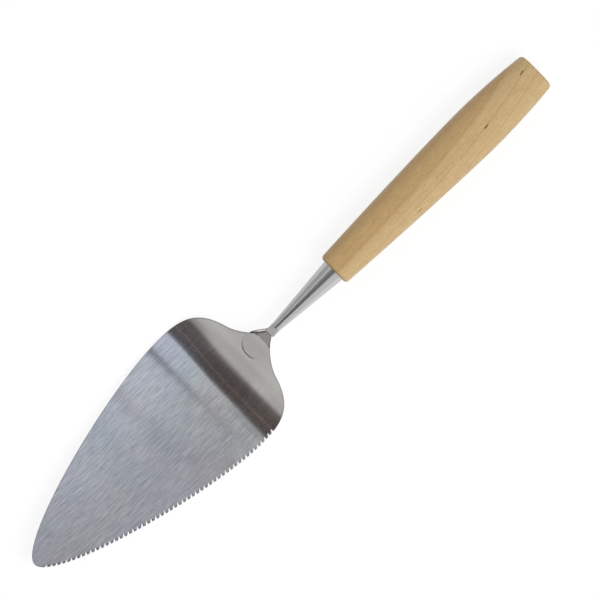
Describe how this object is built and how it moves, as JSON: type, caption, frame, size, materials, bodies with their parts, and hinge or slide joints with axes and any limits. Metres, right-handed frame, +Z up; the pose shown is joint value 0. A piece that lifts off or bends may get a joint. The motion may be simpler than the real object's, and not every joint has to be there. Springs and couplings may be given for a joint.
{
  "type": "cake server",
  "caption": "Cake server with a pointed steel blade toothed on one edge, a cranked shoulder, a rolled steel shank with an open seam, and a rounded beech handle.",
  "frame": {"origin": "centre of the bounding box at table level, with the server lying at rest on the heel of its blade and the belly of its handle", "axes": "+X along the server towards the handle's butt, +Y towards the plain edge of the blade, +Z up"},
  "size_m": [0.2794, 0.0586, 0.0175],
  "materials": {
    "blade_steel": "stainless sheet, brushed along its length",
    "shank_steel": "stainless sheet, fine satin",
    "weld_metal": "fused steel, hidden between the sheets",
    "glue": "set epoxy, amber",
    "beech": "oiled beech, fine straight grain"
  },
  "bodies": {
    "root": {"blade": "blade_steel", "shank": "shank_steel", "spot_welds": "weld_metal", "handle_glue": "glue", "handle": "beech"}
  },
  "joints": []
}
